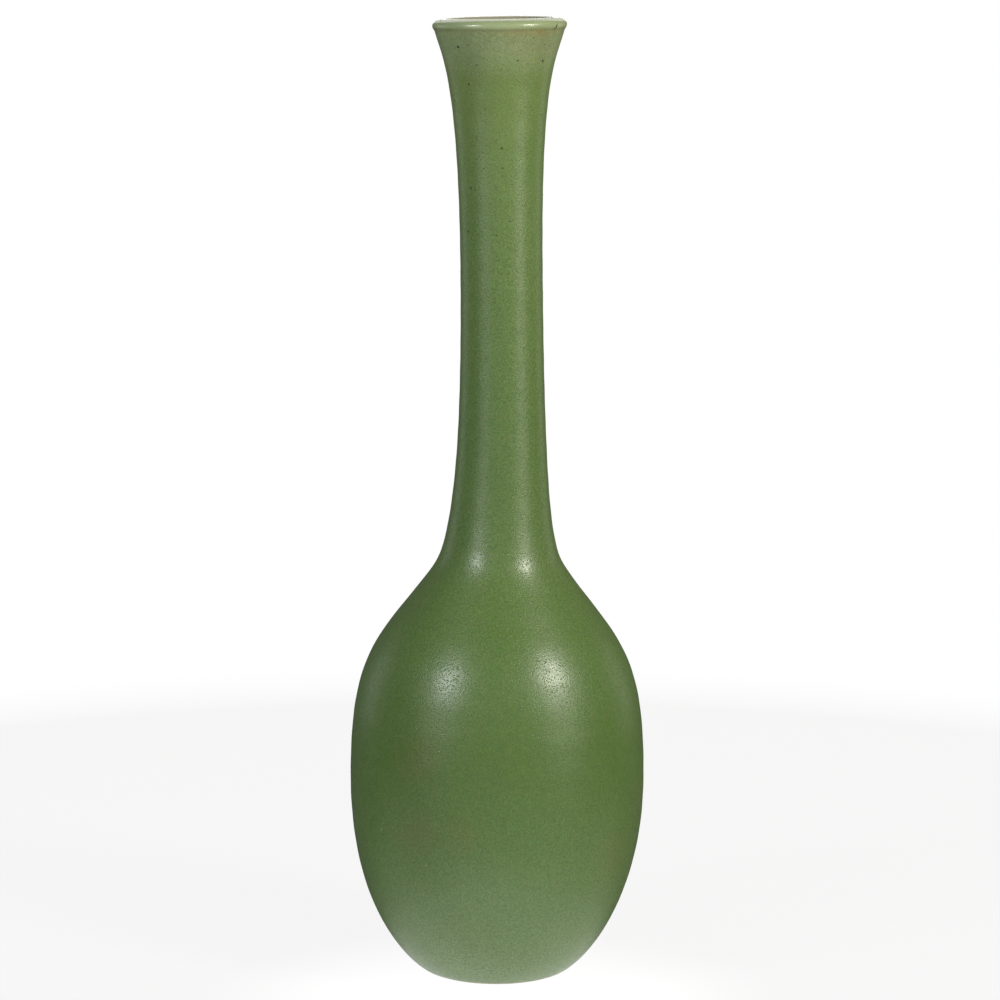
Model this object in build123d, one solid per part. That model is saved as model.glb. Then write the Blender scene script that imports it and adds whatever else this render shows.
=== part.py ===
from build123d import *
import os

# A long-necked stoneware sake bottle. The ovoid body is thrown with a closed floor and a turned foot ring.
# The flared neck is thrown separately and luted to the body's collar with slip. A green satin-matt glaze
# covers the outside up to the crest of the lip, a pale liner glaze covers the inside, and a patch of glaze
# sits in the recess of the foot. Everything is turned about Z, and the foot stands on Z = 0. Millimetres.

# ---- Driving dimensions ---------------------------------------------------------------------------------
# Outside of the glazed bottle: radii and heights of the stations that the outline passes through
height = 280.0  # resting surface to the crest of the lip
foot_radius = 21.6  # at the lower edge of the glaze
belly_radius = 43.2
belly_height = 58.0
joint_radius = 16.85  # at the luting joint, where the neck begins
joint_height = 126.0
shoulder_reach = 8.55  # from the joint out to where the shoulder stops bulging and starts to hollow
shoulder_drop = 13.7  # from the joint down to that place
waist_radius = 11.9  # narrowest part of the neck
waist_drop = 71.0  # from the crest of the lip down to the waist
flare_radius = 18.6  # top of the flare, just under the lip
lip_overhang = 0.7  # how far the lip stands out past the flare
lip_width = 3.8  # widest part of the lip in to the crest, where the green glaze meets the liner
lip_depth = 3.6  # top of the flare to the crest
lip_roll = 1.9  # widest part of the lip to the crest

# Lean of the outline at the stations that aren't upright, as radius gained for each millimetre climbed
foot_lean = 1.8
shoulder_lean = -0.78
joint_lean = -0.29
flare_lean = 0.28

# How far each stretch of the outline holds its direction at its lower and upper end, as shares of its climb
foot_to_belly = (0.05, 0.66)
belly_to_shoulder = (0.6, 0.28)
shoulder_to_joint = (0.58, 0.27)
joint_to_waist = (0.135, 0.56)
waist_to_flare = (0.8, 0.115)
flare_to_lip = (0.35, 0.5)
lip_fullness = 0.62  # the same for the rounded top of the lip, at both ends
mouth_fullness = 0.6  # and for the inner edge of the mouth
floor_fullness = 0.5  # share of the bowl's reach over which the floor inside stays level

# Clay
foot_wall = 4.6
joint_wall = 3.4
lip_wall = 3.9
floor_height = 7.6  # resting surface to the clay floor inside, in its middle
foot_bevel = 1.0  # bare bevel between the edge of the glaze and the foot ring's resting face
ring_width = 5.0  # of that face
recess_depth = 3.0
recess_flat = 0.72  # share of the recess that stays nearly flat
recess_turn = 0.93  # share at which it turns down to the ring

# Glazes and slip
glaze_thickness = 0.4
liner_thickness = 0.35
base_glaze_thickness = 0.3
glaze_stop = 0.4  # bare clay left below the outer glaze, so that the bottle doesn't fuse to the kiln shelf
base_glaze_reach = 0.82  # share of the recess that its glaze covers, from the centre out
luting_gap = 0.5  # thickness of the slip between the body and the neck

stations_per_stretch = 8  # points that a curve beside the outline takes from each stretch of it
bowl_stations = 2  # how many of the body's first points the bowl of the floor takes the place of

lip_radius = flare_radius + lip_overhang
crest_radius = lip_radius - lip_width
contact_radius = foot_radius - foot_bevel
ring_radius = contact_radius - ring_width


def stretch(low, low_lean, high, high_lean, holds):
    """One smooth stretch of the outline between two stations, given as (radius, height)."""
    climb = high[1] - low[1]
    leave = Vector(low_lean, 1) * climb * holds[0]
    arrive = Vector(high_lean, 1) * climb * holds[1]
    return Bezier(low, Vector(*low) + leave, Vector(*high) - arrive, high)


def body_outline():
    """Outside of the glazed body, from the edge of the glaze at the foot up to the luting joint."""
    foot = (foot_radius, glaze_stop)
    belly = (belly_radius, belly_height)
    shoulder = (joint_radius + shoulder_reach, joint_height - shoulder_drop)
    joint = (joint_radius - joint_lean * luting_gap / 2, joint_height - luting_gap / 2)
    return [
        stretch(foot, foot_lean, belly, 0, foot_to_belly),
        stretch(belly, 0, shoulder, shoulder_lean, belly_to_shoulder),
        stretch(shoulder, shoulder_lean, joint, joint_lean, shoulder_to_joint),
    ]


def neck_outline():
    """Outside of the glazed neck, from the luting joint up to the top of the flare."""
    joint = (joint_radius + joint_lean * luting_gap / 2, joint_height + luting_gap / 2)
    waist = (waist_radius, height - waist_drop)
    flare = (flare_radius, height - lip_depth)
    return [
        stretch(joint, joint_lean, waist, 0, joint_to_waist),
        stretch(waist, 0, flare, flare_lean, waist_to_flare),
    ]


def lip_outline():
    """Rounded lip, from the top of the flare over its widest part to the crest."""
    flare = (flare_radius, height - lip_depth)
    widest = (lip_radius, height - lip_roll)
    over = (lip_radius - crest_radius) * lip_fullness
    top = Bezier(
        widest,
        (lip_radius, height - lip_roll * (1 - lip_fullness)),
        (crest_radius + over, height),
        (crest_radius, height),
    )
    return [stretch(flare, flare_lean, widest, 0, flare_to_lip), top]


def point_beside(curve, share, distance):
    """A point beside a curve that climbs, at a distance towards the axis of the bottle."""
    direction = curve % share
    return curve @ share + Vector(-direction.Y, direction.X) * distance


def points_beside(curves, first_distance, last_distance):
    """Points beside a chain of curves, at a distance that changes evenly from its start to its end."""
    steps = stations_per_stretch * len(curves)
    change = (last_distance - first_distance) / steps
    points = []
    for step in range(steps + 1):
        index = min(step // stations_per_stretch, len(curves) - 1)
        share = step / stations_per_stretch - index
        points.append(point_beside(curves[index], share, first_distance + change * step))
    return points


def parallel(curves, first_distance, last_distance):
    """A curve beside a chain of curves, at a distance that changes evenly from its start to its end."""
    return Spline(*points_beside(curves, first_distance, last_distance))


def inner_body(outline, floor, depth):
    """Inside of the body: the bowl of the floor from its middle outwards, then the wall up to the joint."""
    wall_points = points_beside(outline, depth + foot_wall, depth + joint_wall)
    wall = Spline(*wall_points[bowl_stations:])
    start = wall @ 0
    lean = (wall % 0).X / (wall % 0).Y
    turn = Vector(start.X - lean * (start.Y - floor), floor)
    bowl = Bezier((0, floor), (start.X * floor_fullness, floor), turn, start)
    return [bowl, wall]


def mouth_edge(inner_neck, crest_height):
    """Rounded inner edge of the mouth, from the inside of the neck up to the crest."""
    start = inner_neck @ 1
    leave = (inner_neck % 1) * (crest_height - start.Y) * mouth_fullness
    over = (crest_radius - start.X) * mouth_fullness
    return Bezier(start, start + leave, (crest_radius - over, crest_height), (crest_radius, crest_height))


def turned(*edges):
    """A solid turned about Z from the closed section that the edges make."""
    section = make_face(Wire(edges))
    return revolve(Plane.XZ * section, Axis.Z)


# ---- Outlines of every layer, from the outside in -------------------------------------------------------
body = body_outline()
neck = neck_outline()
lip = lip_outline()

clay_body = parallel(body, glaze_thickness, glaze_thickness)
clay_neck = parallel(neck, glaze_thickness, glaze_thickness)
clay_lip = parallel(lip, glaze_thickness, glaze_thickness)

clay_inner_body = inner_body(body, floor_height, glaze_thickness)
clay_inner_neck = parallel(neck, glaze_thickness + joint_wall, glaze_thickness + lip_wall)
clay_mouth = mouth_edge(clay_inner_neck, height - glaze_thickness)

liner_depth = glaze_thickness + liner_thickness
liner_body = inner_body(body, floor_height + liner_thickness, liner_depth)
liner_neck = parallel(neck, liner_depth + joint_wall, liner_depth + lip_wall)
liner_mouth = mouth_edge(liner_neck, height - glaze_thickness + liner_thickness)

recess = Bezier(
    (0, recess_depth),
    (ring_radius * recess_flat, recess_depth),
    (ring_radius * recess_turn, recess_depth),
    (ring_radius, 0),
)
recess_glazed = recess.trim(0, base_glaze_reach)
recess_bare = recess.trim(base_glaze_reach, 1)


def outer_glaze():
    """Green glaze over the whole outside, body, joint and neck in one skin."""
    return turned(
        *body,
        Line(body[-1] @ 1, neck[0] @ 0),
        *neck,
        *lip,
        Line(lip[-1] @ 1, clay_lip @ 1),
        clay_lip,
        clay_neck,
        Line(clay_neck @ 0, clay_body @ 1),
        clay_body,
        Line(clay_body @ 0, body[0] @ 0),
    )


def body_clay():
    """Body with its floor, foot ring and the collar that the neck is luted to."""
    return turned(
        clay_body,
        Line(clay_body @ 1, clay_inner_body[-1] @ 1),
        *clay_inner_body,
        Line(clay_inner_body[0] @ 0, recess_glazed @ 0),
        recess_glazed,
        recess_bare,
        Line(recess_bare @ 1, (contact_radius, 0)),
        Line((contact_radius, 0), clay_body @ 0),
    )


def slip_ring():
    """Slip squeezed between the collar and the end of the neck, both cut square to the wall."""
    return turned(
        Line(clay_body @ 1, clay_neck @ 0),
        Line(clay_neck @ 0, clay_inner_neck @ 0),
        Line(clay_inner_neck @ 0, clay_inner_body[-1] @ 1),
        Line(clay_inner_body[-1] @ 1, clay_body @ 1),
    )


def neck_clay():
    """Neck with its flare and thickened lip."""
    return turned(
        clay_neck,
        clay_lip,
        clay_mouth,
        clay_inner_neck,
        Line(clay_inner_neck @ 0, clay_neck @ 0),
    )


def liner_glaze():
    """Pale glaze over the whole inside, from the floor up to the crest of the lip."""
    return turned(
        *liner_body,
        Line(liner_body[-1] @ 1, liner_neck @ 0),
        liner_neck,
        liner_mouth,
        Line(liner_mouth @ 1, clay_mouth @ 1),
        clay_mouth,
        clay_inner_neck,
        Line(clay_inner_neck @ 0, clay_inner_body[-1] @ 1),
        *clay_inner_body,
        Line(clay_inner_body[0] @ 0, liner_body[0] @ 0),
    )


def base_glaze():
    """Glaze in the recess of the foot, kept back from the resting face."""
    skin = parallel([recess_glazed], -base_glaze_thickness, -base_glaze_thickness)
    return turned(
        recess_glazed,
        Line(recess_glazed @ 1, skin @ 1),
        skin,
        Line(skin @ 0, recess_glazed @ 0),
    )


nodes = {
    "clay_body": body_clay(),
    "luting_slip": slip_ring(),
    "clay_neck": neck_clay(),
    "outer_glaze": outer_glaze(),
    "liner_glaze": liner_glaze(),
    "base_glaze": base_glaze(),
}

os.makedirs("parts", exist_ok=True)
for name, solid in nodes.items():
    export_step(solid, f"parts/{name}.step")
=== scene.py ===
import math
import random

import bmesh
import bpy
from mathutils import Matrix, Vector
from mathutils.geometry import interpolate_bezier


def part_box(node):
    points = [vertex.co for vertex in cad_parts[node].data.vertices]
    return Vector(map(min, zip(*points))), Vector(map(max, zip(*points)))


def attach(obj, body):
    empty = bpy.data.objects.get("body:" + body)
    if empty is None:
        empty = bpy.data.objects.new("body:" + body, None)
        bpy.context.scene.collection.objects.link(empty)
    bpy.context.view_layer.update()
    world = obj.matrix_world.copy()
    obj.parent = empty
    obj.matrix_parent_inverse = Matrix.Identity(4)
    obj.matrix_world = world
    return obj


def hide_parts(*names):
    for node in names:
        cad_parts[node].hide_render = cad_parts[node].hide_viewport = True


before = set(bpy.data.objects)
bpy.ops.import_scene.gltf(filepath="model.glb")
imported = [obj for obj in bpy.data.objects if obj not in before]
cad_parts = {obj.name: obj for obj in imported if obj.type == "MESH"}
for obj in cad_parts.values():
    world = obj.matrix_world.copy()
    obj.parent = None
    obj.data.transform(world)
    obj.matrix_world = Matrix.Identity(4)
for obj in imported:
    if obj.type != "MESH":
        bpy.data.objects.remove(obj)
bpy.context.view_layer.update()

# A long-necked stoneware sake bottle: a thrown body, a separately thrown neck luted on with slip, a green
# satin-matt glaze outside, a pale liner glaze inside and a patch of glaze in the recess of the foot.
# Lengths below are in millimetres, and each piece's mesh is brought to metres when it is finished.
MM = 0.001

# ---- Sizes from the frame ------------------------------------------------------------------------------
_, glaze_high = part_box("outer_glaze")
_, neck_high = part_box("clay_neck")
HEIGHT = glaze_high.z / MM
BELLY_RADIUS = glaze_high.x / MM
GLAZE = (glaze_high.z - neck_high.z) / MM
LIP_RADIUS = neck_high.x / MM + GLAZE

# ---- The lip --------------------------------------------------------------------------------------------
LIP_OVERHANG = 0.7  # how far it stands out past the flare
LIP_WIDTH = 3.8  # from its widest part in to the crest
LIP_DEPTH = 3.6  # from the top of the flare to the crest
LIP_ROLL = 1.9  # from its widest part to the crest
LIP_FULLNESS = 0.62
MOUTH_FULLNESS = 0.6  # of the rounded inner edge of the mouth
CREST_RADIUS = LIP_RADIUS - LIP_WIDTH

# ---- The outline of the glazed bottle ------------------------------------------------------------------
# Stations are (radius, height, lean), where lean is the radius gained for each millimetre climbed.
GLAZE_STOP = 0.4  # bare clay below the glaze
FOOT = (21.6, GLAZE_STOP, 1.8)
BELLY = (BELLY_RADIUS, 58.0, 0.0)
SHOULDER = (25.4, 112.3, -0.78)
JOINT = (16.85, 126.0, -0.29)
WAIST = (11.9, 209.0, 0.0)
FLARE = (LIP_RADIUS - LIP_OVERHANG, HEIGHT - LIP_DEPTH, 0.28)
WIDEST = (LIP_RADIUS, HEIGHT - LIP_ROLL, 0.0)
# Each stretch holds its direction at both ends for a share of its climb.
BODY_STRETCHES = (
    (FOOT, BELLY, (0.05, 0.66)),
    (BELLY, SHOULDER, (0.6, 0.28)),
    (SHOULDER, JOINT, (0.58, 0.27)),
)
NECK_STRETCHES = (
    (JOINT, WAIST, (0.135, 0.56)),
    (WAIST, FLARE, (0.8, 0.115)),
)
BEAD_STRETCH = (FLARE, WIDEST, (0.35, 0.5))

# ---- Walls, glazes and foot ----------------------------------------------------------------------------
FOOT_WALL = 4.6
JOINT_WALL = 3.4
LIP_WALL = 3.9
LINER = 0.35
SLIP = 0.5  # thickness of the slip between the body and the neck
FLOOR_HEIGHT = 7.6  # clay floor inside, above the table
FOOT_BEVEL = 1.0
RING_WIDTH = 5.0  # of the face that the bottle rests on
CONTACT_RADIUS = FOOT[0] - FOOT_BEVEL
RING_RADIUS = CONTACT_RADIUS - RING_WIDTH
RECESS_DEPTH = 3.0
RECESS_FLAT, RECESS_TURN = 0.72, 0.93  # handles of its curve, as shares of the ring's inner radius
RECESS_REACH = 0.82  # share of the recess that is glazed
BASE_GLAZE = 0.3

SEGMENTS = 180  # round the bottle
BEZIER_POINTS = 400  # along each stretch before it is divided evenly


# ---- Outlines ------------------------------------------------------------------------------------------
def stretch(low, high, holds):
    """Points of one smooth stretch of the outline, as (radius, height)."""
    climb = high[1] - low[1]
    start = Vector((low[0], low[1], 0))
    end = Vector((high[0], high[1], 0))
    leave = start + Vector((low[2], 1, 0)) * climb * holds[0]
    arrive = end - Vector((high[2], 1, 0)) * climb * holds[1]
    return [point.to_2d() for point in interpolate_bezier(start, leave, arrive, end, BEZIER_POINTS)]


def chain(*lines):
    """Several lines of points end to end, without the doubled points where they meet."""
    points = list(lines[0])
    for line in lines[1:]:
        points += line[1:]
    return points


def lip_top():
    """Rounded top of the lip, from its widest part in to the crest."""
    rise = HEIGHT - WIDEST[1]
    width = LIP_RADIUS - CREST_RADIUS
    corners = (
        Vector((LIP_RADIUS, WIDEST[1], 0)),
        Vector((LIP_RADIUS, WIDEST[1] + rise * LIP_FULLNESS, 0)),
        Vector((CREST_RADIUS + width * LIP_FULLNESS, HEIGHT, 0)),
        Vector((CREST_RADIUS, HEIGHT, 0)),
    )
    return [point.to_2d() for point in interpolate_bezier(*corners, BEZIER_POINTS)]


def evenly(points, spacing):
    """The same line divided into equal steps of about the given spacing."""
    lengths = [0.0]
    for before, after in zip(points, points[1:]):
        lengths.append(lengths[-1] + (after - before).length)
    steps = max(1, round(lengths[-1] / spacing))
    divided = []
    index = 0
    for step in range(steps + 1):
        target = lengths[-1] * step / steps
        while index < len(points) - 2 and lengths[index + 1] < target:
            index += 1
        span = lengths[index + 1] - lengths[index]
        divided.append(points[index].lerp(points[index + 1], (target - lengths[index]) / span))
    return divided


def beside(points, first, last):
    """A line beside another, towards the axis of the bottle, at a distance that changes evenly along it."""
    moved = []
    for index, point in enumerate(points):
        before = points[max(index - 1, 0)]
        after = points[min(index + 1, len(points) - 1)]
        along = (after - before).normalized()
        distance = first + (last - first) * index / (len(points) - 1)
        moved.append(point + Vector((-along.y, along.x)) * distance)
    return moved


def bowl(wall, floor):
    """Floor inside the body, from its middle out to where the wall takes over."""
    start = wall[0]
    along = (wall[1] - wall[0]).normalized()
    turn = start.x - along.x / along.y * (start.y - floor)
    corners = (
        Vector((0, floor, 0)),
        Vector((start.x / 2, floor, 0)),
        Vector((turn, floor, 0)),
        start.to_3d(),
    )
    return [point.to_2d() for point in interpolate_bezier(*corners, BEZIER_POINTS)]


def mouth_edge(wall, crest_height):
    """Rounded inner edge of the mouth, from the top of the inner wall to the crest."""
    start = wall[-1]
    along = (wall[-1] - wall[-2]).normalized()
    corners = (
        start.to_3d(),
        (start + along * (crest_height - start.y) * MOUTH_FULLNESS).to_3d(),
        Vector((CREST_RADIUS - (CREST_RADIUS - start.x) * MOUTH_FULLNESS, crest_height, 0)),
        Vector((CREST_RADIUS, crest_height, 0)),
    )
    return [point.to_2d() for point in interpolate_bezier(*corners, BEZIER_POINTS)]


body_line = chain(*(stretch(*parts) for parts in BODY_STRETCHES))
neck_line = chain(*(stretch(*parts) for parts in NECK_STRETCHES))
lip_line = chain(stretch(*BEAD_STRETCH), lip_top())
outer_line = chain(body_line, neck_line, lip_line)

WALL_START = BEZIER_POINTS // 4  # where the inner wall rises out of the bowl of the floor


def inner_body(depth, floor):
    """Inside of the body at a depth from the glazed surface that leaves room for the clay wall."""
    wall = beside(body_line, depth + FOOT_WALL, depth + JOINT_WALL)[WALL_START:]
    return chain(bowl(wall, floor), wall)


def inner_neck(depth, crest_height):
    """Inside of the neck up to the crest, at a depth from the glazed surface."""
    wall = beside(neck_line, depth + JOINT_WALL, depth + LIP_WALL)
    return chain(wall, mouth_edge(wall, crest_height))


# ---- The set of the pot: what the hand and the kiln did to the turned form ------------------------------
BODY_OFFSET = 0.3  # how far the belly stands to the right of the foot
BODY_OFFSET_FROM, BODY_OFFSET_CLIMB = 15, 35  # where that begins, and over what climb it comes in
NECK_OFFSET = 1.25  # how far the lower neck stands to the right of the foot
OFFSET_FROM, OFFSET_FULL = 98.0, 162.0  # heights over which that comes in
RETURN_CLIMB, RETURN_HASTE = 160, 1.45  # above them the neck leans back, until the lip is over the foot
RIM_TILT = math.radians(1.15)
RIM_TILT_FROM = 258.0
FRONT_RISE = 0.25  # how much higher the rim stands at the front
OVAL = 0.0016  # difference between the pot's two widths, as a share of its radius
OVAL_TURN = 0.7  # twice the angle between its longer width and the side, in radians
THROWING_PITCH = 9.0  # climb of the fingers for each turn of the wheel
THROWING_DEPTH = 0.022
THROWING_FROM, THROWING_FADE_IN = 12, 20  # the ridges begin above the foot
THROWING_TO, THROWING_FADE_OUT = HEIGHT - 4, 12  # and were smoothed away at the lip


def smooth(share):
    """Smooth step from 0 to 1."""
    share = min(max(share, 0.0), 1.0)
    return share * share * (3 - 2 * share)


def hand(point):
    """Moves a point of the turned form to where it is on the pot that was made by hand."""
    radius = math.hypot(point.x, point.y)
    turn = math.atan2(point.y, point.x)
    height = point.z
    ridge = math.sin(2 * math.pi * height / THROWING_PITCH + turn) * THROWING_DEPTH
    grip = smooth((height - THROWING_FROM) / THROWING_FADE_IN)
    grip *= smooth((THROWING_TO - height) / THROWING_FADE_OUT)
    swell = 1 + OVAL * math.cos(2 * turn + OVAL_TURN) + (ridge * grip / radius if radius > 1 else 0)
    lean = BODY_OFFSET * smooth((height - BODY_OFFSET_FROM) / BODY_OFFSET_CLIMB)
    lean += (NECK_OFFSET - BODY_OFFSET) * smooth((height - OFFSET_FROM) / (OFFSET_FULL - OFFSET_FROM))
    back = smooth((height - OFFSET_FULL) / RETURN_CLIMB) * RETURN_HASTE
    point.x = point.x * swell + lean * (1 - min(back, 1.0))
    point.y = point.y * swell
    rise = point.x * math.tan(RIM_TILT) + FRONT_RISE * smooth(-point.y / CREST_RADIUS)
    point.z += rise * smooth((height - RIM_TILT_FROM) / (HEIGHT - RIM_TILT_FROM))


# ---- Making the pieces ----------------------------------------------------------------------------------
def turned(name, line, closed, segments=SEGMENTS):
    """A piece turned on the wheel from its section: a closed loop, or an open line with ends on the axis."""
    bm = bmesh.new()
    verts = [bm.verts.new((point.x, 0, point.y)) for point in line]
    edges = [bm.edges.new(pair) for pair in zip(verts, verts[1:])]
    if closed:
        edges.append(bm.edges.new((verts[-1], verts[0])))
    bmesh.ops.spin(
        bm,
        geom=verts + edges,
        cent=(0, 0, 0),
        axis=(0, 0, 1),
        angle=2 * math.pi,
        steps=segments,
        use_merge=True,
        use_duplicate=False,
    )
    bmesh.ops.remove_doubles(bm, verts=bm.verts, dist=0.002)
    bmesh.ops.recalc_face_normals(bm, faces=bm.faces)
    return finished(name, bm)


def finished(name, bm):
    """A smooth object from a bmesh in millimetres, set as the hand-made pot is set."""
    for vert in bm.verts:
        hand(vert.co)
    bmesh.ops.scale(bm, vec=(MM, MM, MM), verts=bm.verts)
    for face in bm.faces:
        face.smooth = True
    mesh = bpy.data.meshes.new(name)
    bm.to_mesh(mesh)
    bm.free()
    piece = bpy.data.objects.new(name, mesh)
    bpy.context.scene.collection.objects.link(piece)
    return piece


def edge_roll(outside, inside, bulge, steps):
    """Rounded edge of a glaze between its outer and inner line, which both start at the edge."""
    middle = (outside + inside) / 2
    across = (outside - inside) / 2
    out = Vector((across.y, -across.x)).normalized() * bulge
    angles = [math.pi * step / steps for step in range(1, steps)]
    return [middle - across * math.cos(angle) + out * math.sin(angle) for angle in angles]


# Reddish-brown patches where the glaze is thin, as (angle round from the front, height, reach)
HAZE = (
    (-32, 49, 8), (-14, 50, 6), (55, 41, 8), (77, 53, 7), (-33, 70, 7), (40, 277, 7), (20, 276, 5),
    (118, 66, 13), (165, 38, 10), (-118, 92, 9), (-160, 55, 13), (150, 240, 9), (-100, 262, 8),
)


def thin_patches(piece):
    """Writes how thin the glaze is at each point, falling away from the middle of every patch."""
    centres = []
    for angle, height, reach in HAZE:
        radius, _ = outline_at(height)
        turn = math.radians(angle) - math.pi / 2
        middle = Vector((radius * math.cos(turn), radius * math.sin(turn), height)) * MM
        centres.append((middle, reach * MM))
    layer = piece.data.attributes.new("haze", "FLOAT", "POINT")
    for vert in piece.data.vertices:
        shares = [math.exp(-((vert.co - centre).length / reach) ** 2) for centre, reach in centres]
        layer.data[vert.index].value = max(shares)


def outer_glaze():
    """Green glaze, from the rolled edge above the foot to the crest of the lip, as one closed skin."""
    spacing, lip_spacing, back_spacing = 1.0, 0.24, 5.0
    skin = evenly(chain(body_line, neck_line), spacing)
    lip = evenly(lip_line, lip_spacing)
    back = evenly(beside(outer_line, GLAZE, GLAZE), back_spacing)
    roll = edge_roll(skin[0], back[0], bulge=0.32, steps=8)
    line = chain(skin, lip) + list(reversed(back)) + roll
    piece = turned("green_glaze_skin", line, closed=True)
    thin_patches(piece)
    return piece


def liner():
    """Pale glaze over the whole inside, from the middle of the floor to the crest, as one closed skin."""
    spacing, mouth_spacing, back_spacing = 1.6, 0.12, 5.0
    crest = HEIGHT - GLAZE + LINER
    body_face = inner_body(GLAZE + LINER, FLOOR_HEIGHT + LINER)
    neck_wall = beside(neck_line, GLAZE + LINER + JOINT_WALL, GLAZE + LINER + LIP_WALL)
    face = chain(
        evenly(chain(body_face, neck_wall), spacing),
        evenly(mouth_edge(neck_wall, crest), mouth_spacing),
    )
    clay_side = chain(inner_body(GLAZE, FLOOR_HEIGHT), inner_neck(GLAZE, HEIGHT - GLAZE))
    back = evenly(clay_side, back_spacing)
    return turned("liner_glaze_skin", list(reversed(face)) + back, closed=False, segments=120)


def foot_face():
    """Bare foot ring from its inner edge to the glaze, with the grooves that the turning tool left."""
    groove, depth = 0.42, 0.05
    points = []
    steps = round((CONTACT_RADIUS - RING_RADIUS) / groove)
    for step in range(steps + 1):
        radius = RING_RADIUS + (CONTACT_RADIUS - RING_RADIUS) * step / steps
        points.append(Vector((radius, depth * (step % 2))))
    return points


def recess_line():
    """Hollow under the foot, from its middle out to the ring."""
    corners = (
        Vector((0, RECESS_DEPTH, 0)),
        Vector((RING_RADIUS * RECESS_FLAT, RECESS_DEPTH, 0)),
        Vector((RING_RADIUS * RECESS_TURN, RECESS_DEPTH, 0)),
        Vector((RING_RADIUS, 0, 0)),
    )
    return [point.to_2d() for point in interpolate_bezier(*corners, BEZIER_POINTS)]


def clay_body():
    """Body with its floor, collar and turned foot ring."""
    half_slip = SLIP / 2
    outside = evenly(beside(body_line, GLAZE, GLAZE), spacing=2.0)
    inside = evenly(inner_body(GLAZE, FLOOR_HEIGHT), spacing=2.5)
    outside = [point for point in outside if point.y < JOINT[1] - half_slip]
    inside = [point for point in inside if point.y < JOINT[1] - half_slip]
    under = evenly(recess_line(), spacing=0.5)
    line = chain(under, foot_face()) + outside + list(reversed(inside))
    return turned("stoneware_body", line, closed=False)


def clay_neck():
    """Neck with its flare and thickened lip."""
    outside = evenly(beside(chain(neck_line, lip_line), GLAZE, GLAZE), spacing=1.5)
    inside = evenly(inner_neck(GLAZE, HEIGHT - GLAZE), spacing=1.5)
    return turned("stoneware_neck", outside + list(reversed(inside))[1:], closed=True, segments=96)


def slip_ring():
    """Slip squeezed between the collar and the neck."""
    outside = beside(body_line, GLAZE, GLAZE)[-1]
    inside = inner_body(GLAZE, FLOOR_HEIGHT)[-1]
    down = Vector((0, -SLIP))
    loop = [outside, inside, inside + down, outside + down]
    return turned("luting_slip_ring", loop, closed=True, segments=96)


def foot_glaze():
    """Patch of glaze in the recess, with a rolled edge short of the ring."""
    recess = recess_line()
    covered = evenly(recess[: round(len(recess) * RECESS_REACH)], spacing=0.4)
    skin = beside(covered, -BASE_GLAZE, -BASE_GLAZE)
    roll = edge_roll(skin[-1], covered[-1], bulge=0.25, steps=6)
    return turned("foot_glaze_patch", skin + roll[::-1] + covered[::-1], closed=False, segments=96)


def outline_at(height):
    """Radius and slope of the glazed outline at a height."""
    for below, above in zip(outer_line, outer_line[1:]):
        if below.y <= height <= above.y:
            share = (height - below.y) / (above.y - below.y)
            along = (above - below).normalized()
            return below.x + (above.x - below.x) * share, along
    return outer_line[-1].x, Vector((-1, 0))


def grain_mesh():
    """A ball of unit radius, the form that every grain on the glaze is flattened from."""
    bm = bmesh.new()
    bmesh.ops.create_uvsphere(bm, u_segments=8, v_segments=6, radius=1)
    mesh = bpy.data.meshes.new("grain")
    bm.to_mesh(mesh)
    bm.free()
    return mesh


GRAIN_SUNK = 0.35  # how deep a grain's middle lies under the glaze, as a share of its rise


def spot(bm, grain, layer, place, width, long, rise, strength, lie):
    """A flat grain on the glaze, where place is the angle round from the front and the height. The layer
    holds how strongly it shows, fading towards its edge."""
    angle, height = place
    radius, along = outline_at(height)
    turn = math.radians(angle) - math.pi / 2
    out = Vector((along.y * math.cos(turn), along.y * math.sin(turn), -along.x))
    side = Vector((-math.sin(turn), math.cos(turn), 0))
    count = len(bm.verts)
    bm.from_mesh(grain)
    bm.verts.ensure_lookup_table()
    stand = Matrix((side, out.cross(side), out)).transposed().to_4x4()
    sunk = out * rise * GRAIN_SUNK
    stand.translation = Vector((radius * math.cos(turn), radius * math.sin(turn), height)) - sunk
    shape = Matrix.Diagonal((width / 2, width / 2 * long, rise, 1))
    stand = stand @ Matrix.Rotation(lie, 4, "Z") @ shape
    for vert in bm.verts[count:]:
        # A grain shows fully over its middle and not at all at its rim.
        vert[layer] = strength * smooth(vert.co.z * 1.5 - 0.4)
        vert.co = stand @ vert.co


# Iron specks that show on the front, as (angle round from the front, height, width)
FRONT_SPECKS = (
    (-43, 272.3, 1.17), (-30, 273.0, 0.88), (32, 274.7, 0.88), (47, 272.8, 0.78), (56, 272.2, 0.78),
    (50, 268.2, 1.08), (19, 268.5, 0.98), (-24, 267.3, 0.88), (2, 266.0, 0.88), (-36, 261.8, 0.98),
    (-34, 259.0, 0.78), (-67, 256.6, 0.98), (-17, 254.8, 0.78), (60, 253.0, 0.88), (-32, 246.7, 0.78),
    (2, 243.7, 0.98), (-23, 242.5, 0.78), (-22, 237.9, 0.78), (3, 238.0, 0.88), (-6, 232.6, 0.78),
    (-44, 232.0, 0.98), (-36, 231.5, 0.78), (12, 222.8, 0.88), (-53, 219.5, 1.08), (-6, 218.8, 0.88),
)
LIP_DASH = (57, 277.6, 0.65)  # long grain on the lip, lying on a slant
FRONT_GRIT = (
    (-23, 73.8, 0.55), (65, 90.0, 0.5), (-51, 47.9, 0.5), (-29, 39.7, 0.5), (-13, 34.6, 0.45),
    (7, 134.7, 0.35), (-3, 209.7, 0.4),
)
BEHIND = (80, 280)  # angles round from the front that the sides and the back take up
FLARE_SPECKS = 70  # behind, thinning out down the neck
FLARE_SPECKS_BELOW = 4  # how far below the crest they begin
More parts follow.
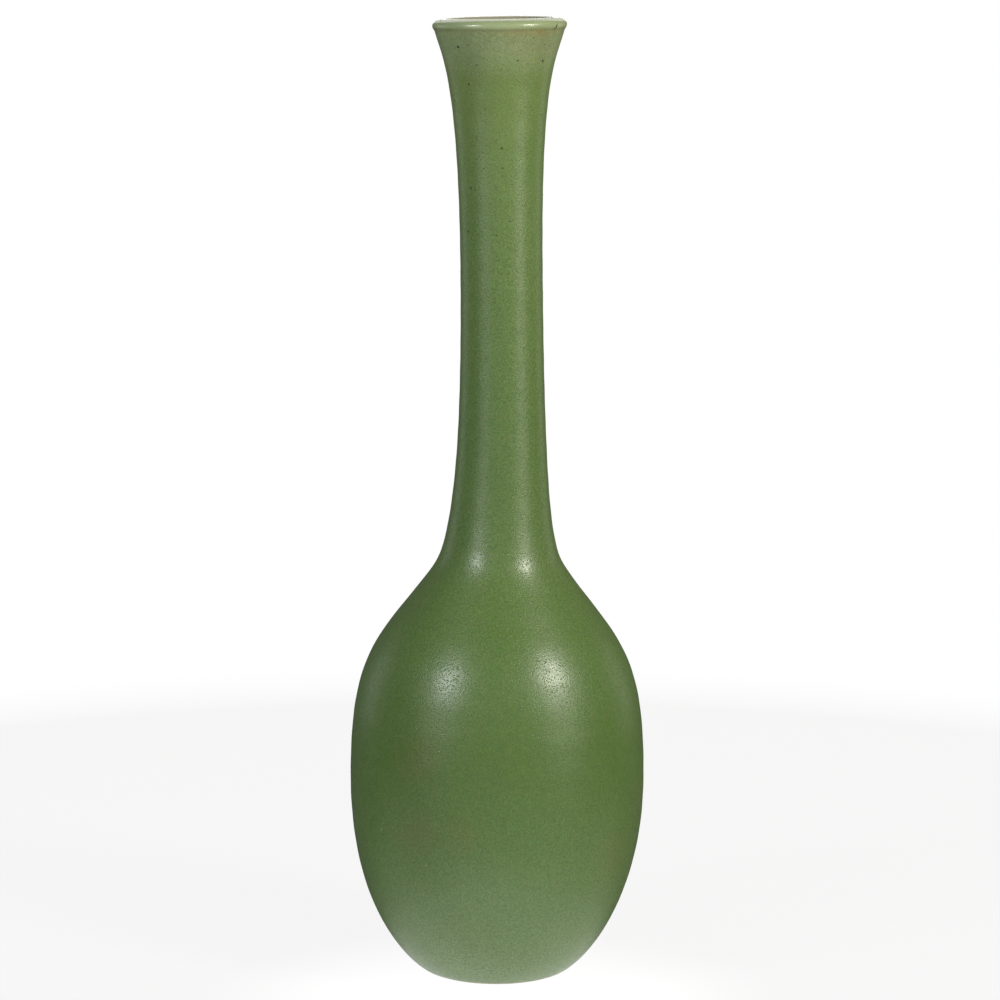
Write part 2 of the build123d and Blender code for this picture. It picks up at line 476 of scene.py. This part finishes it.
FLARE_SPECKS_SPREAD = 26
FINE_SPECKS = 60  # all round
FINE_SPECK_HEIGHTS = (12, 200)
SPECK_RISE, FINE_SPECK_RISE = 0.03, 0.02
GRIT_BEHIND = 18
GRIT_HEIGHTS = (15, 230)


def iron_specks():
    """Specks of iron that melted through the glaze, dense round the flare and rare on the body."""
    rng = random.Random(8)
    grain = grain_mesh()
    bm = bmesh.new()
    layer = bm.verts.layers.float.new("iron")
    for angle, height, width in FRONT_SPECKS:
        strength = 0.35 + 0.65 * smooth((width - 0.7) / 0.45)  # the wider specks melted darker
        long = rng.uniform(0.8, 1.3)
        spot(bm, grain, layer, (angle, height), width, long, SPECK_RISE, strength, rng.uniform(0, 3))
    angle, height, width = LIP_DASH
    spot(bm, grain, layer, (angle, height), width, long=3.2, rise=SPECK_RISE, strength=1.0, lie=-0.42)
    for _ in range(FLARE_SPECKS):
        angle = rng.uniform(*BEHIND)
        height = HEIGHT - FLARE_SPECKS_BELOW - abs(rng.gauss(0, FLARE_SPECKS_SPREAD))
        width = rng.uniform(0.4, 0.95)
        strength = rng.uniform(0.3, 0.9)
        long = rng.uniform(0.8, 1.5)
        spot(bm, grain, layer, (angle, height), width, long, SPECK_RISE, strength, rng.uniform(0, 3))
    for _ in range(FINE_SPECKS):
        place = (rng.uniform(0, 360), rng.uniform(*FINE_SPECK_HEIGHTS))
        width = rng.uniform(0.25, 0.45)
        strength = rng.uniform(0.3, 0.6)
        long = rng.uniform(0.8, 1.5)
        spot(bm, grain, layer, place, width, long, FINE_SPECK_RISE, strength, rng.uniform(0, 3))
    return finished("iron_specks", bm)


def glaze_grit():
    """Grains of grog that stand up under the glaze as small pale pips."""
    rng = random.Random(21)
    grain = grain_mesh()
    bm = bmesh.new()
    layer = bm.verts.layers.float.new("grit")
    for angle, height, width in FRONT_GRIT:
        lie = rng.uniform(0, 3)
        spot(bm, grain, layer, (angle, height), width, long=1.15, rise=0.12, strength=1.0, lie=lie)
    for _ in range(GRIT_BEHIND):
        place = (rng.uniform(*BEHIND), rng.uniform(*GRIT_HEIGHTS))
        width = rng.uniform(0.3, 0.55)
        long = rng.uniform(0.9, 1.3)
        lie = rng.uniform(0, 3)
        spot(bm, grain, layer, place, width, long, rise=0.1, strength=1.0, lie=lie)
    return finished("glaze_grit", bm)


# ---- Materials ------------------------------------------------------------------------------------------
# The green glaze from the foot up, as (share of the height, colour): pale and grey over the foot as a
# painted reflection of the pale floor, deepest round the belly, and thinner, yellower and paler up the flare
GLAZE_AND_PAINTED_REFLECTION_BY_HEIGHT = (
    (0.0, "6F855C"), (0.065, "627A4A"), (0.15, "5A7641"), (0.25, "506C2E"), (0.44, "5B733B"),
    (0.61, "5D763D"), (0.82, "667D43"), (0.938, "6B8045"), (0.97, "88956A"),
)
SHARE, UNDER, OVER = 0, 6, 7  # inputs of a Mix node that mixes colours
MIXED = 2  # and its output
# Depths below the crest of the lip between which the glaze gets thick
THICK_FROM, THICK_FULL = 4.0, 2.5


def colour(code):
    """A linear colour from an sRGB hex value."""
    channels = [int(code[index : index + 2], 16) / 255 for index in (0, 2, 4)]
    linear = [c / 12.92 if c <= 0.04045 else ((c + 0.055) / 1.055) ** 2.4 for c in channels]
    return (*linear, 1)


def node(tree, kind, inputs=None, stops=(), **settings):
    """Adds a node with its settings and, on a colour ramp, its stops. Each input takes a value, a socket
    that feeds it, or a node that feeds it from its first output in use."""
    made = tree.nodes.new("ShaderNode" + kind)
    for name, value in settings.items():
        setattr(made, name, value)
    for socket, source in (inputs or {}).items():
        if isinstance(source, bpy.types.Node):
            source = next(output for output in source.outputs if output.enabled)
        if isinstance(source, bpy.types.NodeSocket):
            tree.links.new(source, made.inputs[socket])
        else:
            made.inputs[socket].default_value = source
    for index, (place, code) in enumerate(stops):
        elements = made.color_ramp.elements
        element = elements[index] if index < len(elements) else elements.new(place)
        element.position = place
        element.color = colour(code)
    return made


def below_crest(depth):
    """Height in metres of a place at a depth below the crest of the lip."""
    return (HEIGHT - depth) * MM


def new_material(name):
    """An empty node material with its shader and output."""
    material = bpy.data.materials.new(name)
    material.use_nodes = True
    tree = material.node_tree
    tree.nodes.clear()
    shader = node(tree, "BsdfPrincipled")
    output = node(tree, "OutputMaterial", {"Surface": shader})
    return material, tree, shader, output


def satin_green_glaze():
    """Satin-matt iron and copper green stoneware glaze: a soft broad gloss broken by fine pits, a body of
    even olive green, thinner and greyer over the flare, warm under the lip and pale where it breaks."""
    material, tree, shader, _ = new_material("satin_green_glaze")
    place = node(tree, "TexCoord").outputs["Object"]
    height = node(tree, "SeparateXYZ", {"Vector": place}).outputs["Z"]
    # Colour by height, with a painted reflection of the pale floor over the foot
    climbed = node(tree, "MapRange", {"Value": height, "From Max": HEIGHT * MM})
    shaded = node(tree, "ValToRGB", {"Fac": climbed}, GLAZE_AND_PAINTED_REFLECTION_BY_HEIGHT)

    # Drifts of thicker glaze as wide as a thumb, 28 mm, and the mottle of the melt, 2.4 mm
    for size, most, code in ((28, 0.35, "4E6E36"), (2.4, 0.2, "707043")):
        clouds = node(tree, "TexNoise", {"Vector": place, "Scale": 1 / (size * MM), "Detail": 2.0})
        clouds = node(
            tree,
            "MapRange",
            {"Value": clouds, "From Min": 0.35, "From Max": 0.68, "To Max": most},
        )
        shaded = node(tree, "Mix", {SHARE: clouds, UNDER: shaded, OVER: colour(code)}, data_type="RGBA")

    # Where the glaze is thin the clay shows through as a reddish haze, broken into 5 mm flecks.
    haze = node(tree, "Attribute", attribute_name="haze").outputs["Fac"]
    flecks = node(tree, "TexNoise", {"Vector": place, "Scale": 1 / (5 * MM), "Detail": 3.0})
    flecks = node(tree, "MapRange", {"Value": flecks, "From Min": 0.35, "From Max": 0.65, "To Min": 0.35})
    thin = node(tree, "Math", {0: haze, 1: flecks}, operation="MULTIPLY")
    thin_share = node(tree, "Math", {0: thin, 1: 0.27}, operation="MULTIPLY")
    shaded = node(tree, "Mix", {SHARE: thin_share, UNDER: shaded, OVER: colour("786740")}, data_type="RGBA")

    # The grain of the glaze is really about 0.2 mm. It is drawn at 0.6 mm so that it shows, and it is
    # fainter up on the flare, where the glaze ran thin.
    grain = node(tree, "TexNoise", {"Vector": place, "Scale": 1 / (0.6 * MM), "Roughness": 0.6})
    most = node(
        tree,
        "MapRange",
        {"Value": height, "From Min": 210 * MM, "From Max": 260 * MM, "To Min": 0.66, "To Max": 0.3},
    )
    grain = node(tree, "MapRange", {"Value": grain, "From Min": 0.35, "From Max": 0.65, "To Max": most})
    shaded = node(tree, "Mix", {SHARE: grain, UNDER: shaded, OVER: colour("40592A")}, data_type="RGBA")

    # Under the bead the glaze is thin and warm. The bead itself is thick and pale, and it breaks to
    # cream where it thins again over the crest.
    bead = node(
        tree,
        "MapRange",
        {"Value": height, "From Min": below_crest(3.0), "From Max": below_crest(1.9), "To Max": 0.75},
        interpolation_type="SMOOTHSTEP",
    )
    shaded = node(tree, "Mix", {SHARE: bead, UNDER: shaded, OVER: colour("929F75")}, data_type="RGBA")
    above = node(
        tree,
        "MapRange",
        {"Value": height, "From Min": below_crest(4.8), "From Max": below_crest(3.6)},
    )
    below = node(
        tree,
        "MapRange",
        {"Value": height, "From Min": below_crest(2.0), "From Max": below_crest(2.8)},
    )
    warmth = node(
        tree,
        "MapRange",
        {"Value": thin, "From Min": 0.1, "From Max": 0.8, "To Min": 0.1, "To Max": 0.42},
    )
    band = node(tree, "Math", {0: above, 1: below}, operation="MULTIPLY")
    band = node(tree, "Math", {0: band, 1: warmth}, operation="MULTIPLY")
    shaded = node(tree, "Mix", {SHARE: band, UNDER: shaded, OVER: colour("8F7A4A")}, data_type="RGBA")

    flat = node(tree, "VectorMath", {0: place, 1: (1, 1, 0)}, operation="MULTIPLY")
    radius = node(tree, "VectorMath", {0: flat}, operation="LENGTH")
    ragged = node(tree, "TexNoise", {"Vector": place, "Scale": 1 / (3.5 * MM), "Detail": 2.0})
    ragged = node(tree, "Math", {0: ragged, 1: 0.4 * MM, 2: radius}, operation="MULTIPLY_ADD")
    inward = node(
        tree,
        "MapRange",
        {"Value": ragged, "From Min": (CREST_RADIUS + 1.7) * MM, "From Max": (CREST_RADIUS + 0.9) * MM},
    )
    on_top = node(
        tree,
        "MapRange",
        {"Value": height, "From Min": below_crest(1.2), "From Max": below_crest(0.9)},
    )
    broken = node(tree, "Math", {0: inward, 1: on_top}, operation="MULTIPLY")
    shaded = node(tree, "Mix", {SHARE: broken, UNDER: shaded, OVER: colour("EDEED6")}, data_type="RGBA")

    # Pits that gas left in the melt, each opened more or less. They are really about 0.1 mm across, and
    # are drawn about 0.3 mm across and 0.58 mm apart so that they show. Most healed over in the thick lip.
    pits = node(tree, "TexVoronoi", {"Vector": place, "Scale": 1 / (0.58 * MM)})
    opened = node(
        tree,
        "MapRange",
        {"Value": pits.outputs["Color"], "From Min": 0.1, "From Max": 0.8, "To Min": 0.35},
    )
    dip = node(
        tree,
        "MapRange",
        {"Value": pits.outputs["Distance"], "From Min": 0.45, "From Max": 0.12},
        interpolation_type="SMOOTHSTEP",
    )
    dip = node(tree, "Math", {0: dip, 1: opened}, operation="MULTIPLY")
    healed = node(
        tree,
        "MapRange",
        {
            "Value": height,
            "From Min": below_crest(THICK_FROM),
            "From Max": below_crest(THICK_FULL),
            "To Min": 1.0,
            "To Max": 0.25,
        },
    )
    dip = node(tree, "Math", {0: dip, 1: healed}, operation="MULTIPLY")
    # Painted shade: each pit is painted darker, as though in the shade of its hollow
    pit_shade = node(tree, "Math", {0: dip, 1: 0.32}, operation="MULTIPLY")
    shaded = node(tree, "Mix", {SHARE: pit_shade, UNDER: shaded, OVER: colour("2E4225")}, data_type="RGBA")

    iron = node(tree, "Attribute", attribute_name="iron").outputs["Fac"]
    shaded = node(tree, "Mix", {SHARE: iron, UNDER: shaded, OVER: colour("2F3319")}, data_type="RGBA")
    grit = node(tree, "Attribute", attribute_name="grit").outputs["Fac"]
    pip = node(tree, "Math", {0: grit, 1: 0.5}, operation="MULTIPLY")
    shaded = node(tree, "Mix", {SHARE: pip, UNDER: shaded, OVER: colour("AEB98C")}, data_type="RGBA")
    tree.links.new(shaded.outputs[MIXED], shader.inputs["Base Color"])

    # Satin gloss in clouds of 2.2 mm, glossier where the glaze runs thick over the lip, dull in the pits
    gloss = node(
        tree,
        "TexNoise",
        {"Vector": place, "Scale": 1 / (2.2 * MM), "Detail": 3.0, "Roughness": 0.6},
    )
    matt = node(
        tree,
        "MapRange",
        {"Value": gloss, "From Min": 0.3, "From Max": 0.7, "To Min": 0.29, "To Max": 0.37},
    )
    polish = node(
        tree,
        "MapRange",
        {
            "Value": height,
            "From Min": below_crest(THICK_FROM),
            "From Max": below_crest(THICK_FULL),
            "To Min": 1.0,
            "To Max": 0.72,
        },
    )
    roughness = node(tree, "Math", {0: matt, 1: polish}, operation="MULTIPLY")
    roughness = node(tree, "Math", {0: dip, 1: 0.35, 2: roughness}, operation="MULTIPLY_ADD")
    tree.links.new(roughness.outputs[0], shader.inputs["Roughness"])
    shader.inputs["IOR"].default_value = 1.5

    # The skin of the glaze is faintly pebbled, sunk at each pit, on slow 7 mm waves of the melt.
    skin = node(tree, "TexNoise", {"Vector": place, "Scale": 1 / (0.7 * MM), "Roughness": 0.6})
    sunk = node(tree, "Math", {0: dip, 1: -1.3, 2: skin}, operation="MULTIPLY_ADD")
    waves = node(tree, "TexNoise", {"Vector": place, "Scale": 1 / (7 * MM), "Detail": 1.0})
    waves = node(tree, "Bump", {"Height": waves, "Strength": 0.5, "Distance": 0.07 * MM})
    pebbled = node(tree, "Bump", {"Height": sunk, "Normal": waves, "Distance": 0.034 * MM, "Strength": 1.0})
    tree.links.new(pebbled.outputs[0], shader.inputs["Normal"])
    return material


def liner_glaze_with_painted_shade():
    """Clear liner glaze over buff clay: a straw colour, darkened to grey as painted shade inside the bottle,
    with a breath of green in 14 mm clouds, glossier than the outside, with a few pinholes."""
    material, tree, shader, _ = new_material("liner_glaze_with_painted_shade")
    place = node(tree, "TexCoord").outputs["Object"]
    cloud = node(tree, "TexNoise", {"Vector": place, "Scale": 1 / (14 * MM), "Detail": 3.0})
    cloud = node(tree, "MapRange", {"Value": cloud, "From Min": 0.35, "From Max": 0.7})
    # Both colours are darker than the pale liner itself: painted shade for the inside of the bottle
    shaded = node(
        tree,
        "Mix",
        {SHARE: cloud, UNDER: colour("94917A"), OVER: colour("86866D")},
        data_type="RGBA",
    )
    pins = node(tree, "TexVoronoi", {"Vector": place, "Scale": 1 / (2.4 * MM)})
    pinhole = node(
        tree,
        "MapRange",
        {"Value": pins.outputs["Distance"], "From Min": 0.1, "From Max": 0.05, "To Max": 0.6},
    )
    shaded = node(tree, "Mix", {SHARE: pinhole, UNDER: shaded, OVER: colour("625F49")}, data_type="RGBA")
    tree.links.new(shaded.outputs[MIXED], shader.inputs["Base Color"])
    gloss = node(tree, "TexNoise", {"Vector": place, "Scale": 1 / (3 * MM), "Detail": 2.0})
    gloss = node(
        tree,
        "MapRange",
        {"Value": gloss, "From Min": 0.3, "From Max": 0.7, "To Min": 0.2, "To Max": 0.3},
    )
    tree.links.new(gloss.outputs[0], shader.inputs["Roughness"])
    shader.inputs["IOR"].default_value = 1.5
    waves = node(tree, "TexNoise", {"Vector": place, "Scale": 1 / (5 * MM), "Detail": 2.0})
    waves = node(tree, "Bump", {"Height": waves, "Strength": 0.4, "Distance": 0.08 * MM})
    tree.links.new(waves.outputs[0], shader.inputs["Normal"])
    return material


def fired_stoneware():
    """Fired buff stoneware, turned and left bare: dry and sandy, scorched in 9 mm clouds, with 0.5 mm grog
    and a few iron grains about 1.7 mm apart."""
    material, tree, shader, _ = new_material("fired_stoneware")
    place = node(tree, "TexCoord").outputs["Object"]
    cloud = node(tree, "TexNoise", {"Vector": place, "Scale": 1 / (9 * MM), "Detail": 3.0})
    cloud = node(tree, "MapRange", {"Value": cloud, "From Min": 0.35, "From Max": 0.7})
    shaded = node(
        tree,
        "Mix",
        {SHARE: cloud, UNDER: colour("B79B76"), OVER: colour("A38461")},
        data_type="RGBA",
    )
    grog = node(
        tree,
        "TexNoise",
        {"Vector": place, "Scale": 1 / (0.5 * MM), "Detail": 3.0, "Roughness": 0.7},
    )
    sandy = node(tree, "MapRange", {"Value": grog, "From Min": 0.45, "From Max": 0.75, "To Max": 0.6})
    shaded = node(tree, "Mix", {SHARE: sandy, UNDER: shaded, OVER: colour("CDB793")}, data_type="RGBA")
    iron = node(tree, "TexVoronoi", {"Vector": place, "Scale": 1 / (1.7 * MM)})
    near = node(tree, "MapRange", {"Value": iron.outputs["Distance"], "From Min": 0.18, "From Max": 0.1})
    grain = node(tree, "Math", {0: near, 1: iron.outputs["Color"]}, operation="MULTIPLY")
    shaded = node(tree, "Mix", {SHARE: grain, UNDER: shaded, OVER: colour("4A3522")}, data_type="RGBA")
    tree.links.new(shaded.outputs[MIXED], shader.inputs["Base Color"])
    shader.inputs["Roughness"].default_value = 0.85
    dry = node(tree, "Bump", {"Height": grog, "Strength": 0.7, "Distance": 0.06 * MM})
    tree.links.new(dry.outputs[0], shader.inputs["Normal"])
    return material


# ---- The pieces, each on its body -----------------------------------------------------------------------
green = satin_green_glaze()
cream = liner_glaze_with_painted_shade()
clay = fired_stoneware()

PIECES = (
    (outer_glaze, green, "green_glaze", "outer_glaze"),
    (liner, cream, "liner", "liner_glaze"),
    (clay_body, clay, "stoneware", "clay_body"),
    (clay_neck, clay, "stoneware", "clay_neck"),
    (slip_ring, clay, "slip", "luting_slip"),
    (foot_glaze, green, "green_glaze", "base_glaze"),
    (iron_specks, green, "green_glaze", None),
    (glaze_grit, green, "green_glaze", None),
)
for make, material, slot, stands_for in PIECES:
    piece = make()
    piece.data.materials.append(material)
    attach(piece, "root")
    if stands_for:
        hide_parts(stands_for)


# ---- Floor, light and camera, in metres -----------------------------------------------------------------
FLOOR_RADIUS = 4.0
POOL_MIDDLE = (0, -0.045, 0)  # of the pool of light in front of the foot
POOL_EDGE, POOL_FULL = 0.09, 0.03  # distances from its middle
POOL_GLOW = 0.85
MELT_FROM, MELT_FULL = 0.07, 0.45  # distances over which the card melts into the backdrop
END_FROM, END_FULL = -0.005, 0.025  # depths over which the card ends for the light
SEEN_MELTED = 0.88  # how far it has melted to the eye, even under the bottle


def pale_floor():
    """A pale card that the bottle stands on, with a pool of light in front of the foot. To the eye it is
    nearly as white as the backdrop and melts into it. For the light it ends just behind the bottle, so
    the sides of the pot mirror the dim room beyond it."""
    bm = bmesh.new()
    bmesh.ops.create_circle(bm, cap_ends=True, segments=96, radius=FLOOR_RADIUS)
    mesh = bpy.data.meshes.new("studio_floor")
    bm.to_mesh(mesh)
    bm.free()
    floor = bpy.data.objects.new("studio_floor", mesh)
    bpy.context.scene.collection.objects.link(floor)
    material, tree, shader, output = new_material("pale_card")
    shader.inputs["Base Color"].default_value = colour("B0B0AE")
    shader.inputs["Roughness"].default_value = 0.9
    shader.inputs["Emission Color"].default_value = colour("FFFFFF")
    place = node(tree, "TexCoord").outputs["Object"]
    pool = node(tree, "VectorMath", {0: place, 1: POOL_MIDDLE}, operation="DISTANCE")
    glow = node(
        tree,
        "MapRange",
        {"Value": pool, "From Min": POOL_EDGE, "From Max": POOL_FULL, "To Max": POOL_GLOW},
        interpolation_type="SMOOTHSTEP",
    )
    tree.links.new(glow.outputs[0], shader.inputs["Emission Strength"])
    reach = node(tree, "VectorMath", {0: place}, operation="LENGTH")
    melt = node(
        tree,
        "MapRange",
        {"Value": reach, "From Min": MELT_FROM, "From Max": MELT_FULL},
        interpolation_type="SMOOTHSTEP",
    )
    back = node(tree, "SeparateXYZ", {"Vector": place}).outputs["Y"]
    ended = node(tree, "MapRange", {"Value": back, "From Min": END_FROM, "From Max": END_FULL})
    ended = node(tree, "Math", {0: melt, 1: ended}, operation="MAXIMUM")
    pale = node(tree, "Math", {0: melt, 1: SEEN_MELTED}, operation="MAXIMUM")
    seen = node(tree, "LightPath").outputs["Is Camera Ray"]
    clear = node(tree, "Mix", {0: seen, 2: ended, 3: pale}, data_type="FLOAT")
    fade = node(tree, "MixShader", {0: clear, 1: shader, 2: node(tree, "BsdfTransparent")})
    tree.links.new(fade.outputs[0], output.inputs["Surface"])
    floor.data.materials.append(material)


LIGHT_AIM = Vector((0, 0, 0.1))
# Soft boxes, as (name, angle round from the front, elevation, distance, width and height, watts, tint).
# The two main ones are small and each has a broad low skirt. The card behind lights the crest of the lip,
# the strips light the sides, and the rear box lights the back.
SOFT_BOXES = (
    ("left_softbox", -46, 31, 0.8, (0.16, 0.22), 3.0, "F6F8FF"),
    ("left_softbox_skirt", -47, 8, 0.8, (0.34, 0.38), 0.65, "F6F8FF"),
    ("right_softbox", 54, 32, 0.8, (0.17, 0.22), 5.1, "FFFAF2"),
    ("right_softbox_skirt", 54, 8, 0.8, (0.34, 0.38), 1.15, "FFFBF2"),
    ("back_card", 180, 14.5, 1.0, (0.4, 0.1), 0.35, "FFFEF4"),
    ("left_rear_strip", -122, 6, 0.9, (0.35, 0.4), 0.32, "F8FAFF"),
    ("right_rear_strip", 122, 6, 0.9, (0.35, 0.4), 0.32, "FFFBF4"),
    ("rear_softbox", 180, 40, 1.2, (1.0, 0.8), 3.6, "FFFFFF"),
)


def soft_light(name, azimuth, elevation, distance, size, watts, tint):
    """A soft box aimed at the bottle and hidden from the eye."""
    light = bpy.data.lights.new(name, "AREA")
    light.shape = "RECTANGLE"
    light.size, light.size_y = size
    light.energy = watts
    light.color = colour(tint)[:3]
    box = bpy.data.objects.new(name, light)
    turn = math.radians(azimuth)
    lift = math.radians(elevation)
    toward = Vector((math.sin(turn) * math.cos(lift), -math.cos(turn) * math.cos(lift), math.sin(lift)))
    box.location = LIGHT_AIM + toward * distance
    box.rotation_euler = toward.to_track_quat("Z", "Y").to_euler()
    box.visible_camera = False
    bpy.context.scene.collection.objects.link(box)


FILL_MIDDLE = Vector((0, -1, 0.2)).normalized()
FILL_EDGE, FILL_FULL = 0.55, 0.95  # cosines of the angle away from its middle
ROOM_LEVEL, FILL_LEVEL = 0.085, 0.42


def white_surroundings():
    """White behind the bottle for the eye. For its light, a dim room with a broad soft fill in front."""
    world = bpy.data.worlds.new("studio_world")
    bpy.context.scene.world = world
    world.use_nodes = True
    tree = world.node_tree
    tree.nodes.clear()
    direction = node(tree, "TexCoord").outputs["Generated"]
    facing = node(tree, "VectorMath", {0: direction, 1: FILL_MIDDLE}, operation="DOT_PRODUCT")
    fill = node(
        tree,
        "MapRange",
        {
            "Value": facing.outputs["Value"],
            "From Min": FILL_EDGE,
            "From Max": FILL_FULL,
            "To Min": ROOM_LEVEL,
            "To Max": FILL_LEVEL,
        },
        interpolation_type="SMOOTHSTEP",
    )
    room = node(tree, "Background", {"Color": colour("FFFFFF"), "Strength": fill})
    backdrop = node(tree, "Background", {"Color": colour("FFFFFF"), "Strength": 1.0})
    seen = node(tree, "LightPath").outputs["Is Camera Ray"]
    both = node(tree, "MixShader", {0: seen, 1: room, 2: backdrop})
    node(tree, "OutputWorld", {"Surface": both})


EYE = Vector((0.00077, -1.12, 0.3211))
LOOKED_AT = Vector((0.00077, 0, 0.14018))
EYE_ROLL = math.radians(0.28)


def camera():
    """A long lens a little above the lip, looking slightly down."""
    data = bpy.data.cameras.new("camera")
    data.sensor_width = 36
    data.lens = 139.8
    data.clip_end = 20
    eye = bpy.data.objects.new("camera", data)
    look = (EYE - LOOKED_AT).to_track_quat("Z", "Y").to_matrix().to_4x4()
    eye.matrix_world = Matrix.Translation(EYE) @ look @ Matrix.Rotation(EYE_ROLL, 4, "Z")
    bpy.context.scene.collection.objects.link(eye)
    bpy.context.scene.camera = eye


pale_floor()
for soft_box in SOFT_BOXES:
    soft_light(*soft_box)
white_surroundings()
camera()
bpy.context.scene.view_settings.view_transform = "Standard"
